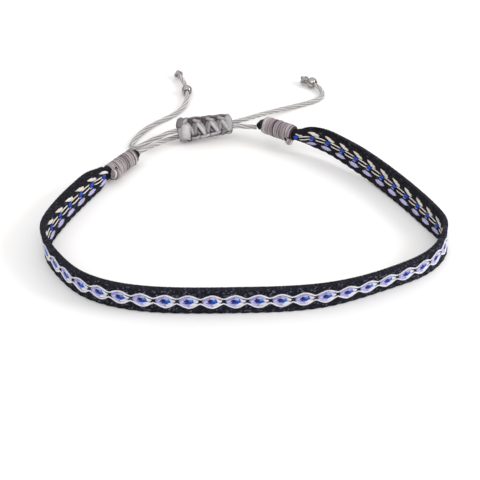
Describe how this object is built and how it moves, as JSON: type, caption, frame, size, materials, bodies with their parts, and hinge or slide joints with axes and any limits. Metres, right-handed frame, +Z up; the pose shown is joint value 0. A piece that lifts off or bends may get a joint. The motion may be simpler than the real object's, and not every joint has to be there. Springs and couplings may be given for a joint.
{
  "type": "friendship bracelet",
  "caption": "Flat woven friendship bracelet in a diamond pattern, lying open, with wound ends, a square-knotted slider and sliding cords that end in beads.",
  "frame": {"origin": "on the table, below the middle of the box round the strap, its wraps and the slider", "axes": "+Z up from the table, +Y from the strap's front stretch to the slider, +X from the left wrap's side to the right wrap's"},
  "size_m": [0.0799, 0.0923, 0.0075],
  "materials": {
    "weave": "matte woven thread",
    "wrap_thread": "matte thread",
    "slider_cord": "matte cord",
    "cord": "silky cord",
    "bead": "polished"
  },
  "bodies": {
    "root": {"woven_strap": "weave", "left_wrap": "wrap_thread", "right_wrap": "wrap_thread", "sliding_knot": "slider_cord", "left_cord": "cord", "right_cord": "cord", "left_bead": "bead", "right_bead": "bead", "left_end_knot": "cord", "right_end_knot": "cord"}
  },
  "joints": []
}
